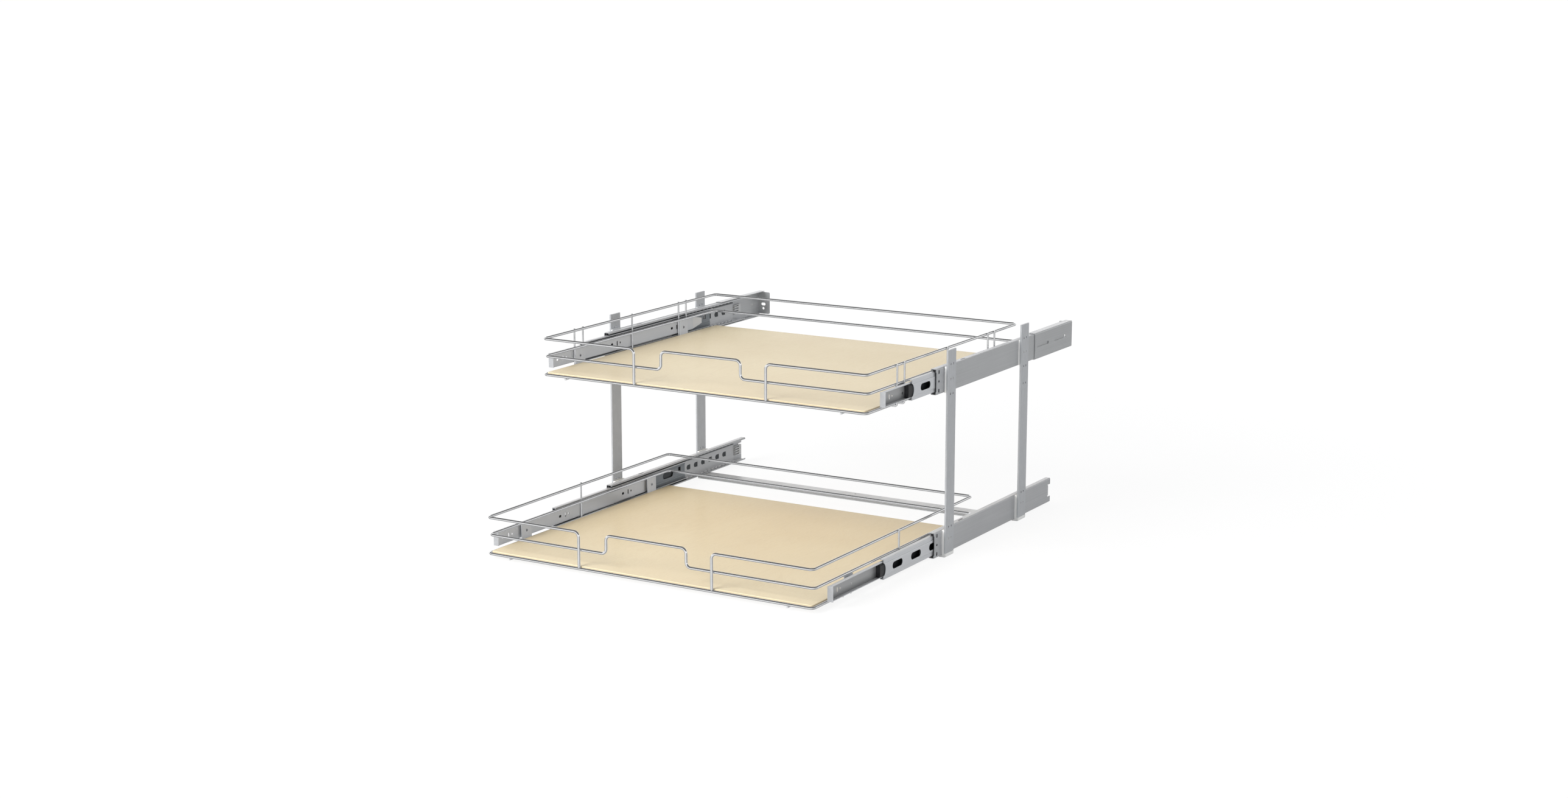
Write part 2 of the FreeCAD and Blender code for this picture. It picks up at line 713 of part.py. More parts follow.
def cross_rod(b, y):
    reach = b.side
    return Part.makeCylinder(cross_wire / 2, 2 * reach, V(-reach, y, b.under), ALONG_X)


def long_wire(b, side):
    """Floor wire from front to back: over the cross wires, stepped down under the rim at both ends."""
    x = side * long_wire_spread / 2
    over = b.under + cross_wire
    low_front = b.front + long_wire_step_start
    low_rear = b.rear - long_wire_step_start
    places = [(b.front - long_wire_overrun, b.under), (low_front, b.under)]
    places += [(low_front + long_wire_step, over), (low_rear - long_wire_step, over)]
    places += [(low_rear, b.under), (b.rear + long_wire_overrun, b.under)]
    return bent_wire([(V(x, y, z), long_wire_bend) for y, z in places], cross_wire)


def floor_panel(b):
    """Thin wood floor on the long wires, inside the bottom rim, with its upper edge eased."""
    base = b.under + cross_wire * 1.5
    inset = rim_wire / 2 + panel_clearance
    x = b.side - inset
    places = [(-x, b.front + inset), (x, b.front + inset), (x, b.rear - inset), (-x, b.rear - inset)]
    corners = [(V(px, py, base), rim_corner - inset) for px, py in places]
    slab = Part.Face(path(corners)).extrude(ALONG_Z * panel_thickness)
    top = base + panel_thickness
    rim = [edge for edge in slab.Edges if edge.BoundBox.ZMin > top - 1e-3]
    return slab.makeFillet(panel_edge_round, rim)


def slide_plate(b, side, y):
    """Plate welded between the middle and bottom rims, with a collar that meets the slide."""
    outer = b.side + rim_wire / 2
    inner = outer - plate_sheet
    wire = rim_wire / 2
    touch = math.sqrt(wire ** 2 - (inner - b.side) ** 2)
    y0 = y - plate_width / 2
    plate = block(side * inner, side * outer, y0, y0 + plate_width, b.bottom + touch, b.middle - touch)
    start = V(side * inner, y, b.rivet_z)
    collar = Part.makeCylinder(collar_diameter / 2, slide_inner_x - inner, start, V(side, 0, 0))
    bore_diameter = tube_rivet_diameter + 2 * rivet_clearance
    bore = side_hole(side * outer, y, b.rivet_z, bore_diameter, 2 * collar_diameter)
    return plate.fuse(collar).removeSplitter().cut(bore)


def slide_rivet(b, side, y):
    """Semi-tubular rivet from inside the basket through the plate and the inner member's web."""
    start = b.side + rim_wire / 2 - plate_sheet
    end = slide_inner_x + slide_gauge
    shank = Part.makeCylinder(tube_rivet_diameter / 2, end - start, V(start, y, b.rivet_z), ALONG_X)
    head_start = V(start - tube_rivet_head_height, y, b.rivet_z)
    head = Part.makeCylinder(tube_rivet_head / 2, tube_rivet_head_height, head_start, ALONG_X)
    bore = Part.makeCylinder(tube_rivet_bore / 2, end - tube_rivet_floor - head_start.x, head_start, ALONG_X)
    rivet = shank.fuse(head).removeSplitter().cut(bore)
    return rivet if side > 0 else rivet.mirror(V(0, 0, 0), ALONG_X)


# Build the fixed frame
def build_frame():
    for end_name, end in ENDS:
        save("floor_bar_" + end_name, [floor_bar(end)])
        for side_name, side in SIDES:
            save("upright_%s_%s" % (end_name, side_name), [upright(side, end)])
            save("foot_%s_%s" % (end_name, side_name), [foot(side, end)])
    save("spacer_pads", [spacer_pad(side, end) for _, side in SIDES for _, end in ENDS])
    places = [(side, y) for _, side in SIDES for _, end in ENDS for y in pair_places(end)]
    heights = (lower_fixing_z, upper_z)
    save("upright_rivets", [upright_rivet(side, y, z) for z in heights for side, y in places])
    for side_name, side in SIDES:
        save("lower_outer_member_" + side_name, [outer_member(side, lower_z, lower_fixing_z)])
        save("upper_outer_member_" + side_name, [outer_member(side, upper_z, upper_z)])
        save("upper_rail_" + side_name, [upper_rail(side)])
        save("rear_bracket_" + side_name, [rear_bracket(side)])
    slides = [(side, z) for _, side in SIDES for z in (lower_z, upper_z)]
    save("slide_rear_stops", [rear_stop(side, z) for side, z in slides])
    save("slide_mouth_plugs", [mouth_plug(side, z, up) for side, z in slides for up in (-1, 1)])
    ball_count = int((rear_strip_length - 2 * outer_ball_end) / rear_strip_ball_pitch) + 1
    row = ball_row(rear_strip_rear - rear_strip_length / 2, ball_count, rear_strip_ball_pitch)
    ball = outer_track_ball(row)
    save("slide_rear_strips", [rear_strip(side, z, ball) for side, z in slides])
    save("slide_rear_balls", [each for side, z in slides for each in balls(side, z, ball)])


# Build one tier: its basket, and the slide members and cages that carry it
def build_tier(tier, z, drop, pull, rear_inset):
    inner_front = shut_inner_front - pull
    middle_front = shut_middle_front - middle_share * pull
    outer_rear = outer_cage_shut_rear - outer_cage_share * pull
    inner_rear = inner_cage_shut_rear - inner_cage_share * pull
    outer_row = ball_row(outer_rear - outer_cage_length / 2, outer_ball_count, outer_ball_pitch)
    inner_row = ball_row(inner_rear - inner_cage_length / 2, inner_ball_count, inner_ball_pitch)
    outer_ball = outer_track_ball(outer_row)
    inner_ball = (inner_cage_u - inner_ball_inset, inner_height / 2 + inner_race / 2,
                  inner_race - 2 * race_clearance, inner_row)
    b = Basket(z, drop, inner_front, rear_inset)
    for side_name, side in SIDES:
        save("%s_middle_member_%s" % (tier, side_name), [middle_member(side, z, middle_front)])
        save("%s_inner_member_%s" % (tier, side_name),
             [inner_member(side, z, inner_front, b.rivet_places, b.rivet_z)])
        save("%s_outer_cage_%s" % (tier, side_name), [outer_cage(side, z, outer_rear, outer_ball)])
        save("%s_inner_cage_%s" % (tier, side_name),
             [inner_cage(side, z, inner_rear, inner_ball)])
    save(tier + "_outer_balls", [each for _, side in SIDES for each in balls(side, z, outer_ball)])
    save(tier + "_inner_balls", [each for _, side in SIDES for each in balls(side, z, inner_ball)])
    save(tier + "_front_guides", [front_guide(side, z, middle_front) for _, side in SIDES])
    save(tier + "_top_rim", [top_rim(b)])
    save(tier + "_middle_rim", [middle_rim(b)])
    save(tier + "_bottom_rim", [bottom_rim(b)])
    places = [b.centre + sign * offset for sign in (-1, 1) for offset in post_pair]
    crossing = [hoop(b, y) if tier == "upper" else cross_rod(b, y) for y in places]
    save(tier + "_floor_wires", [hoop(b, b.centre)] + crossing + [long_wire(b, side) for _, side in SIDES])
    save(tier + "_floor_panel", [floor_panel(b)])
    joints = [(side, y) for _, side in SIDES for y in b.rivet_places]
    save(tier + "_slide_plates", [slide_plate(b, side, y) for side, y in joints])
    save(tier + "_slide_rivets", [slide_rivet(b, side, y) for side, y in joints])


build_frame()
build_tier("lower", lower_z, lower_basket_drop, lower_pull, lower_plate_rear_inset)
build_tier("upper", upper_z, upper_basket_drop, upper_pull, upper_plate_rear_inset)
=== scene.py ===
"""Finishes and stage for a two-tier pull-out cabinet organizer.

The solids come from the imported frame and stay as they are. This file gives each of them its finish,
adds weld beads where the basket wires cross, puts full rows of balls and their tabs into the fixed
strips of the slides, and sets up the stage, the lamps and the camera. Lengths are in metres, Z is
up and the front is at -Y.
"""

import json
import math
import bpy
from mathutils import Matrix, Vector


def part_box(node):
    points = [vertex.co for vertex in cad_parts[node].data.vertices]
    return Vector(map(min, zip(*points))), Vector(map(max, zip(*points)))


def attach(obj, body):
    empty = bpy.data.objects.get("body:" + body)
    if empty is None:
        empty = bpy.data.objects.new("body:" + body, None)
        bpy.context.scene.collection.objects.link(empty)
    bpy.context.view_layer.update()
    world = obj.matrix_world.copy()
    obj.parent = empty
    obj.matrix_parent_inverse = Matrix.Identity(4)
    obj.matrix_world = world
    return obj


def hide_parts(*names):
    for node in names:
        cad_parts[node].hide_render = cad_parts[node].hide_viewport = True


bl_info = {
    "name": "Pull-out cabinet organizer",
    "version": (1, 0, 0),
    "blender": (4, 5, 0),
    "location": "View3D > Sidebar > Organizer",
    "description": "Finishes, weld beads, ball rows and a studio stage for a pull-out organizer",
    "category": "Add Mesh",
}

import bpy
import numpy as np
from bpy.props import FloatProperty, FloatVectorProperty, PointerProperty
from mathutils import Vector

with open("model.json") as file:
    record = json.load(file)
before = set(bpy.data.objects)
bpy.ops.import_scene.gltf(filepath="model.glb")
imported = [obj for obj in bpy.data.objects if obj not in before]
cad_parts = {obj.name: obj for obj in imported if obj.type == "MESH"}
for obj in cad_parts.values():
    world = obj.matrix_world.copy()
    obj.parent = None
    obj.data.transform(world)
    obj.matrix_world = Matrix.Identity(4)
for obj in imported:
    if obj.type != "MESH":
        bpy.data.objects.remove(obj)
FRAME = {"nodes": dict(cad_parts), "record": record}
NODES = FRAME["nodes"]
SLOTS = {row["node"]: row["material_slot"] for row in FRAME["record"]["subparts"]}
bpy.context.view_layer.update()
TIERS = ("lower", "upper")

# Steel: how metallic the plating is, and the painted highlight that lightens the faces that look up
PLATING = 0.62
TOP_HIGHLIGHT = (0.92, 0.92, 0.93)
TOP_HIGHLIGHT_FACING = (0.6, 0.95)
TOP_HIGHLIGHT_SHARE = 0.8

# Zones of the slides with tones of their own: painted shade, painted light, and the inner members'
# noses
SHEET = 0.0006  # kept clear along a zone's edges, so that rolled and cut edges stay plain
CLOSE = 0.0001  # slack where a zone ends on a face
NOSE = 0.030  # bare rear end of the inner members
LIP = 0.0022  # from a middle member's edge to the inner side of its lip
FACING = 0.5  # least share of a normal that counts as facing a side
HOLLOW_SHADE = 0.75  # share of the painted shade along the lower edge of the inner members' hollow
LIP_SHADE_DEPTH = 0.012  # from an outer member's top, the zone of painted shade under its lip on the strips
LIP_SHADE_START, LIP_SHADE_FULL = 0.0104, 0.0086  # from that top, where the painted shade begins and is full
LIP_SHADE_SHARE = 0.9

# Birch: growth bands over the drift of the grain, and how much each layer darkens the veneer
RINGS = 15.0
BROAD_SHARE, LINE_SHARE = 0.14, 0.30
PLIES = 3.0
CROSS_GRAIN_SHARE = 0.55


def colour(name, description, default):
    """Colour property, in linear values."""
    return FloatVectorProperty(
        name=name, description=description, default=default,
        subtype="COLOR", size=3, min=0.0, max=1.0,
    )


def fraction(name, description, default):
    """Plain number from 0 to 1."""
    return FloatProperty(
        name=name, description=description, default=default, subtype="FACTOR", min=0.0, max=1.0
    )


def level(name, description, default, unit="NONE"):
    """Number from 0 up."""
    return FloatProperty(name=name, description=description, default=default, min=0.0, unit=unit)


def length(name, description, default):
    """Length in metres."""
    return FloatProperty(
        name=name, description=description, default=default,
        subtype="DISTANCE", unit="LENGTH", precision=4,
    )


class ORGANIZER_PG_finishes(bpy.types.PropertyGroup):
    """Colours and gloss of the organizer's finishes."""

    chrome: colour("Chrome", "Plating of the basket wires", (0.76, 0.765, 0.775))
    chrome_roughness: fraction("Chrome roughness", "Blur of the wires' reflections", 0.11)
    slide: colour("Slide steel", "Zinc-plated members of the slides", (0.50, 0.51, 0.525))
    slide_roughness: fraction("Slide roughness", "Blur of the slides' reflections", 0.38)
    # Painted shade: a grey tone inside the slides' channels, and the darkest tone in their gaps
    slide_channel_shade: colour("Grease film", "Grey film inside the slides' channels", (0.24, 0.26, 0.28))
    slide_deep_shade: colour("Deep film", "Darkest film, in the slides' gaps", (0.05, 0.055, 0.06))
    # Painted shade on the outboard side of the inner members
    slide_hollow_shade: colour("Inner hollow", "Outboard side of the inner members", (0.44, 0.445, 0.45))
    # Painted light: a lighter tone on the inner members' inboard faces and on the middle members'
    # webs
    slide_lit_faces: colour("Bright members", "Inner members, and webs of the middle members",
                        (0.70, 0.715, 0.74))
    slide_nose: colour("Inner nose", "Whitish rear end of the inner members", (0.76, 0.76, 0.76))
    plate: colour("Plated steel", "Rails, brackets and floor bars", (0.48, 0.49, 0.50))
    # Painted light: the side plates get a lighter copy of the plated steel
    lit_side_plate: colour("Side plates", "Plates between baskets and slides", (0.72, 0.735, 0.76))
    upright: colour("Upright steel", "Galvanised bars of the uprights", (0.53, 0.545, 0.565))
    cage: colour("Cage steel", "Thin strip of the ball cages", (0.66, 0.665, 0.675))
    strip: colour("Fixed strips", "Duller strip at the rear of the slides", (0.54, 0.55, 0.565))
    ball: colour("Balls", "Polished balls of the slides", (0.58, 0.585, 0.60))
    rivet: colour("Rivets", "Bright heads of the rivets", (0.62, 0.62, 0.63))
    white_plastic: colour("White plastic", "Feet and spacer pads", (0.88, 0.88, 0.87))
    grey_plastic: colour("Grey plastic", "Rear stops of the slides", (0.50, 0.51, 0.52))
    black_plastic: colour("Black plastic", "Front guides and track plugs", (0.013, 0.013, 0.015))
    wood_pale: colour("Pale wood", "Early growth in the birch veneer", (0.80, 0.69, 0.475))
    wood_dark: colour("Dark wood", "Late growth in the birch veneer", (0.69, 0.56, 0.365))
    wood_edge: colour("Wood edge", "Cross-grain veneer along the panel's edge", (0.47, 0.35, 0.21))


class ORGANIZER_PG_welds(bpy.types.PropertyGroup):
    """Sizes of the weld beads, balls and tabs, and the places of the wires that the beads hold."""

    bead_width: length("Bead width", "Half width of a bead along the wires", 0.0019)
    bead_height: length("Bead height", "Half height of a bead across the crossing", 0.0013)
    post_near: length("Inner post", "From the basket's middle to a pair's inner post", 0.1545)
    post_far: length("Outer post", "From the basket's middle to a pair's outer post", 0.180)
    leg: length("Leg", "From the basket's middle to a front leg", 0.131)
    long_wire: length("Long wire", "From the basket's middle to a long floor wire", 0.274)
    ball: length("Ball", "Diameter of the balls in the fixed strips", 0.0034)
    ball_pitch: length("Ball pitch", "Distance from ball to ball along a strip", 0.01285)
    tab_width: length("Tab width", "Width of the tab beside a ball", 0.0088)
    tab_height: length("Tab height", "Height of that tab", 0.0034)
    tab_gauge: length("Tab gauge", "Thickness of that tab", 0.0004)
    tab_inset: length("Tab inset", "From the ball's centre to the tab, across the slide", 0.0026)
    tab_drop: length("Tab drop", "From the ball's centre to the tab's base", 0.0019)


class ORGANIZER_PG_stage(bpy.types.PropertyGroup):
    """Floor, lamps and camera."""

    floor: colour("Floor", "Floor and background", (0.93, 0.93, 0.93))
    shadow: fraction("Shadow", "How much of the object's shadow the floor shows", 0.14)
    wall: level("Wall", "Level of the light from the horizon", 1.1)
    ceiling: level("Ceiling", "Level of the light from straight above", 0.36)
    key_power: level("Key lamp", "Power of the soft lamp in front, to the left", 185.0, "POWER")
    top_power: level("Top lamp", "Power of the wide soft lamp overhead", 14.0, "POWER")
    lens: FloatProperty(
        name="Lens", description="Focal length on a 36 mm sensor", default=55.85,
        subtype="DISTANCE_CAMERA",
    )
    place: FloatVectorProperty(
        name="Camera", description="Where the camera stands", default=(2.1699, -3.7427, 1.11305),
        subtype="TRANSLATION", unit="LENGTH", size=3, precision=4,
    )
    turn: FloatVectorProperty(
        name="Turn", description="How the camera is turned",
        default=(math.radians(78.23), 0.0, math.radians(30.90)),
        subtype="EULER", unit="ROTATION", size=3,
    )


# Nodes
def add(tree, kind, inputs=None, **settings):
    """New node with its settings; an input is linked if a socket is given, and set otherwise."""
    made = tree.nodes.new(kind)
    for key, value in settings.items():
        setattr(made, key, value)
    for key, value in (inputs or {}).items():
        if isinstance(value, bpy.types.NodeSocket):
            tree.links.new(value, made.inputs[key])
        else:
            made.inputs[key].default_value = value
    return made


def position(tree):
    """Object coordinates, which are the frame's own because every object stands at its origin."""
    return add(tree, "ShaderNodeTexCoord").outputs["Object"]


def parts_of(tree, vector):
    """X, Y and Z of a vector."""
    return add(tree, "ShaderNodeSeparateXYZ", {0: vector}).outputs


def stretched(tree, scale):
    """Object coordinates stretched by a scale for each axis."""
    return add(tree, "ShaderNodeMapping", {"Vector": position(tree), "Scale": scale}).outputs[0]


def noise(tree, vector, scale=1.0, detail=3.0, roughness=0.5, distortion=0.0):
    """Noise from 0 to 1, nearly all of it between 0.3 and 0.7."""
    inputs = {"Vector": vector, "Scale": scale, "Detail": detail, "Roughness": roughness,
              "Distortion": distortion}
    return add(tree, "ShaderNodeTexNoise", inputs).outputs[0]


def spread(tree, value, low, high, to_low=0.0, to_high=1.0):
    """Value mapped from one range to another and kept inside it."""
    inputs = {"Value": value, "From Min": low, "From Max": high,
              "To Min": to_low, "To Max": to_high}
    return add(tree, "ShaderNodeMapRange", inputs).outputs[0]


def swing(tree, value, to_low=0.0, to_high=1.0):
    """Noise mapped from the range that holds nearly all of it."""
    return spread(tree, value, 0.3, 0.7, to_low, to_high)


def blend(tree, factor, first, second):
    """Two colours mixed by a factor."""
    made = add(tree, "ShaderNodeMix", {0: factor}, data_type="RGBA")
    for index, value in ((6, first), (7, second)):
        if isinstance(value, bpy.types.NodeSocket):
            tree.links.new(value, made.inputs[index])
        else:
            made.inputs[index].default_value = (*value, 1.0)
    return made.outputs[2]


def combine(tree, operation, first, second=0.0):
    """Result of a maths operation on one or two numbers."""
    return add(tree, "ShaderNodeMath", {0: first, 1: second}, operation=operation).outputs[0]


def every(tree, first, *others):
    """Product of masks: 1 where all of them are 1."""
    for other in others:
        first = combine(tree, "MULTIPLY", first, other)
    return first


def either(tree, first, second):
    """The larger of two masks."""
    return combine(tree, "MAXIMUM", first, second)


def above(tree, value, limit):
    """1 where a value is over a limit, and 0 elsewhere."""
    return combine(tree, "GREATER_THAN", value, limit)


def below(tree, value, limit):
    """1 where a value is under a limit, and 0 elsewhere."""
    return combine(tree, "LESS_THAN", value, limit)


def inside(tree, value, low, high):
    """1 where a value lies between two limits, and 0 elsewhere."""
    return every(tree, above(tree, value, low), below(tree, value, high))


def shades(base, amount):
    """A colour made a little darker and a little lighter."""
    tone = np.array(base)
    return tuple(tone * (1.0 - amount)), tuple(np.minimum(tone * (1.0 + amount), 1.0))


# Finishes
def new_finish(name, **constants):
    """Material and its shader, with the values that are the same all over the surface."""
    made = bpy.data.materials.new(name)
    made.use_nodes = True
    shader = made.node_tree.nodes["Principled BSDF"]
    for key, value in constants.items():
        shader.inputs[key.replace("_", " ")].default_value = value
    return made, made.node_tree, shader


def relief(tree, shader, height, depth, strength=0.5):
    """Bump from a height field, depth in metres."""
    bump = add(tree, "ShaderNodeBump", {"Height": height, "Distance": depth, "Strength": strength})
    tree.links.new(bump.outputs[0], shader.inputs["Normal"])


def cover(finish, names):
    """Gives a finish to these nodes."""
    if not names:
        raise RuntimeError("no node takes the finish %s" % finish.name)
    for name in names:
        for place in NODES[name].material_slots:
            place.material = finish


def dress(finish, slot):
    """Gives a finish to every node of a material slot."""
    cover(finish, [name for name, given in SLOTS.items() if given == slot])


def drawn_steel(name, base, rough, along, lines=900.0, cloud=14.0, contrast=0.05):
    """Plated steel: fine drawing lines along one axis, cloudy tone, uneven gloss, painted highlight
    on top faces.
    """
    made, tree, shader = new_finish(name, Metallic=PLATING)
    axis = "xyz".index(along)
    streaks, bands = [lines] * 3, [cloud * 9.0] * 3
    streaks[axis], bands[axis] = lines / 150.0, cloud * 0.5
    fine = noise(tree, stretched(tree, streaks), detail=2.0)
    broad = noise(tree, stretched(tree, bands))
    clouds = noise(tree, position(tree), scale=cloud, detail=4.0, roughness=0.6)
    tone = blend(tree, swing(tree, clouds), *shades(base, contrast))
    lighter = shades(base, contrast * 1.6)[1]
    tone = blend(tree, spread(tree, broad, 0.35, 0.65, 0.0, 0.5), tone, lighter)
    tone = blend(tree, swing(tree, fine, 0.0, 0.45), tone, shades(base, contrast * 2.0)[0])
    # painted highlight: faces that look up are lightened towards near white, standing in for overhead
    # light
    rise = parts_of(tree, add(tree, "ShaderNodeTexCoord").outputs["Normal"])[2]
    tone = blend(tree, spread(tree, rise, *TOP_HIGHLIGHT_FACING, 0.0, TOP_HIGHLIGHT_SHARE), tone, TOP_HIGHLIGHT)
    tree.links.new(tone, shader.inputs["Base Color"])
    drawn = swing(tree, fine, rough - 0.05, rough + 0.05)
    gloss = combine(tree, "ADD", drawn, swing(tree, clouds, -0.03, 0.04))
    tree.links.new(gloss, shader.inputs["Roughness"])
    relief(tree, shader, fine, 0.00003, 0.6)
    return made


def tone_of(finish):
    """Node tree, base colour socket and the socket that feeds it, of a finish made before."""
    tree = finish.node_tree
    base = tree.nodes["Principled BSDF"].inputs["Base Color"]
    return tree, base, base.links[0].from_socket


class Piece:
    """What the operators share."""

    bl_options = {"REGISTER", "UNDO"}

    @property
    def finishes(self):
        return bpy.context.scene.organizer_finishes

    @property
    def welds(self):
        return bpy.context.scene.organizer_welds


class ORGANIZER_OT_basket_wires(Piece, bpy.types.Operator):
    """Bright chrome plating on the basket wires"""

    bl_idname = "organizer.basket_wires"
    bl_label = "Basket wires"

    def execute(self, context):
        rough = self.finishes.chrome_roughness
        made, tree, shader = new_finish("chrome_wire", Metallic=1.0)
        points = position(tree)
        haze = noise(tree, points, scale=60.0, detail=4.0, roughness=0.6)
        pits = noise(tree, points, scale=1400.0, detail=2.0)
        tone = blend(tree, swing(tree, haze), *shades(self.finishes.chrome, 0.06))
        tree.links.new(tone, shader.inputs["Base Color"])
        gloss = combine(tree, "ADD", swing(tree, haze, rough - 0.05, rough + 0.06),
                        spread(tree, pits, 0.4, 0.7, -0.02, 0.03))
        tree.links.new(gloss, shader.inputs["Roughness"])
        relief(tree, shader, pits, 0.00002)
        dress(made, "chrome_wire")
        return {"FINISHED"}


class ORGANIZER_OT_wood_floors(Piece, bpy.types.Operator):
    """Pale birch plywood with a clear satin lacquer"""

    bl_idname = "organizer.wood_floors"
    bl_label = "Wood floors"

    def face_veneer(self, tree, fibres):
        """Pale ground with growth bands, fine fibres and scattered pores."""
        late = self.finishes.wood_dark
        drift = noise(tree, position(tree), scale=3.2, roughness=0.55)
        # growth rings: a drifting height cut into bands, so that the bands close into long flames
        flames = stretched(tree, (7.0, 2.0, 7.0))
        rings = noise(tree, flames, scale=1.6, detail=4.0, roughness=0.6, distortion=0.7)
        waves = combine(tree, "PINGPONG", combine(tree, "MULTIPLY", rings, RINGS), 0.5)
        broad = spread(tree, waves, 0.1, 0.5)
        thin = spread(tree, waves, 0.0, 0.26, 1.0, 0.0)
        pores = noise(tree, stretched(tree, (1500.0, 120.0, 1500.0)), detail=1.0)
        tone = blend(tree, spread(tree, drift, 0.32, 0.7, 0.0, 0.55), self.finishes.wood_pale, late)
        tone = blend(tree, combine(tree, "MULTIPLY", broad, BROAD_SHARE), tone, late)
        tone = blend(tree, combine(tree, "MULTIPLY", thin, LINE_SHARE), tone, late)
        tone = blend(tree, spread(tree, fibres, 0.35, 0.75, 0.0, 0.12), tone, late)
        return blend(tree, spread(tree, pores, 0.66, 0.78, 0.0, 0.35), tone, shades(late, 0.25)[0])

    def execute(self, context):
        made, tree, shader = new_finish("birch_floor", Coat_Weight=0.18, Coat_Roughness=0.22)
        fibres = noise(tree, stretched(tree, (700.0, 30.0, 700.0)), roughness=0.6)
        tone = self.face_veneer(tree, fibres)
        # on the panel's edge the middle veneer shows its cross grain
        surface = add(tree, "ShaderNodeTexCoord")
        upward = combine(tree, "ABSOLUTE", parts_of(tree, surface.outputs["Normal"])[2])
        on_edge = spread(tree, upward, 0.3, 0.6, 1.0, 0.0)
        height = parts_of(tree, surface.outputs["Object"])[2]
        for tier in TIERS:
            low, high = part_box(tier + "_floor_panel")
            ply = (high.z - low.z) / PLIES
            middle = inside(tree, height, low.z + ply, high.z - ply)
            share = every(tree, middle, on_edge, CROSS_GRAIN_SHARE)
            tone = blend(tree, share, tone, self.finishes.wood_edge)
        tree.links.new(tone, shader.inputs["Base Color"])
        tree.links.new(swing(tree, fibres, 0.42, 0.54), shader.inputs["Roughness"])
        relief(tree, shader, fibres, 0.00004)
        dress(made, "wood_panel")
        for tier in TIERS:
            # the plating mirrors the studio and stays neutral beside the warm wood
            NODES[tier + "_floor_panel"].visible_glossy = False
        return {"FINISHED"}


class ORGANIZER_OT_slide_members(Piece, bpy.types.Operator):
    """Zinc-plated rolled steel, drawn along the slides, with zones of painted light and painted shade
    """

    bl_idname = "organizer.slide_members"
    bl_label = "Slide members"

    def execute(self, context):
        look = self.finishes
        made = drawn_steel("slide_steel", look.slide, look.slide_roughness, "y")
        tree, base, tone = tone_of(made)
        surface = add(tree, "ShaderNodeTexCoord")
        across, along, up = parts_of(tree, surface.outputs["Object"])
        # the sides are mirror images: reach and outward grow away from the baskets on both
        side = combine(tree, "SIGN", across)
        reach = every(tree, across, side)
        outward = every(tree, parts_of(tree, surface.outputs["Normal"])[0], side)
        outboard = above(tree, outward, FACING)
        not_outboard = below(tree, outward, FACING)
        inboard = below(tree, outward, -FACING)

        film_and_shade = nose = hollow = shade_under_cover = shaded = lip_shade = 0.0
        for tier in TIERS:
            for member in ("_outer_member_right", "_middle_member_right"):
                low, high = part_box(tier + member)
                channel = inside(tree, up, low.z + SHEET, high.z - SHEET)
                behind = above(tree, along, low.y)
                past_lip = above(tree, reach, low.x + SHEET)
                film_and_shade = either(tree, film_and_shade, every(tree, channel, behind, past_lip))
            # from here on, low, high and behind are the middle member's
            # painted shade on the middle members' inboard walls inside their lips, in the darkest
            # tone
            lip_shade = either(tree, lip_shade, inside(tree, up, low.z + LIP, high.z - LIP))
            inner_low, inner_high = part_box(tier + "_inner_member_right")
            tail = inside(tree, along, inner_high.y - NOSE, inner_high.y)
            level_with = inside(tree, up, inner_low.z, inner_high.z)
            nose = either(tree, nose, every(tree, tail, level_with))
            # painted shade on the inner members' outboard side, darker towards its lower edge and
            # where the middle member covers it
            between = inside(tree, up, inner_low.z + SHEET, inner_high.z - SHEET)
            hollow = either(tree, hollow, between)
            shade_under_cover = either(tree, shade_under_cover, every(tree, between, behind))
            centre = (inner_low.z + inner_high.z) / 2.0
            fading = spread(tree, up, inner_low.z + SHEET, centre, HOLLOW_SHADE, 0.0)
            shaded = either(tree, shaded, every(tree, between, fading))

        strips_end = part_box("slide_rear_strips")[1].y
        # painted shade inside the outer and middle members' channels, darkest beyond the middle
        # members
        painted_channel_shade = every(tree, film_and_shade, below(tree, along, strips_end + SHEET), not_outboard)
        floor = above(tree, reach, high.x + 2.0 * CLOSE)
        channel_shade_tone = blend(tree, floor, look.slide_channel_shade, look.slide_deep_shade)
        shallow = below(tree, reach, low.x - CLOSE)
        backed = every(tree, shallow, outboard)
        web = every(tree, inside(tree, reach, low.x, high.x + 2.0 * CLOSE), outboard)
        edge = inside(tree, reach, low.x - CLOSE, low.x + 2.0 * SHEET)
        # the first tone is painted light, the nose is its own tone, and the rest is painted shade
        for mask, given in (
            (either(tree, every(tree, shallow, inboard), web), look.slide_lit_faces),
            (every(tree, nose, shallow), look.slide_nose),
            (every(tree, hollow, backed), look.slide_hollow_shade),
            (every(tree, shaded, backed), look.slide_deep_shade),
            (every(tree, shade_under_cover, backed), look.slide_deep_shade),
            (painted_channel_shade, channel_shade_tone),
            (every(tree, lip_shade, edge, inboard), look.slide_deep_shade),
        ):
            tone = blend(tree, mask, tone, given)
        tree.links.new(tone, base)
        dress(made, "slide_steel")
        return {"FINISHED"}


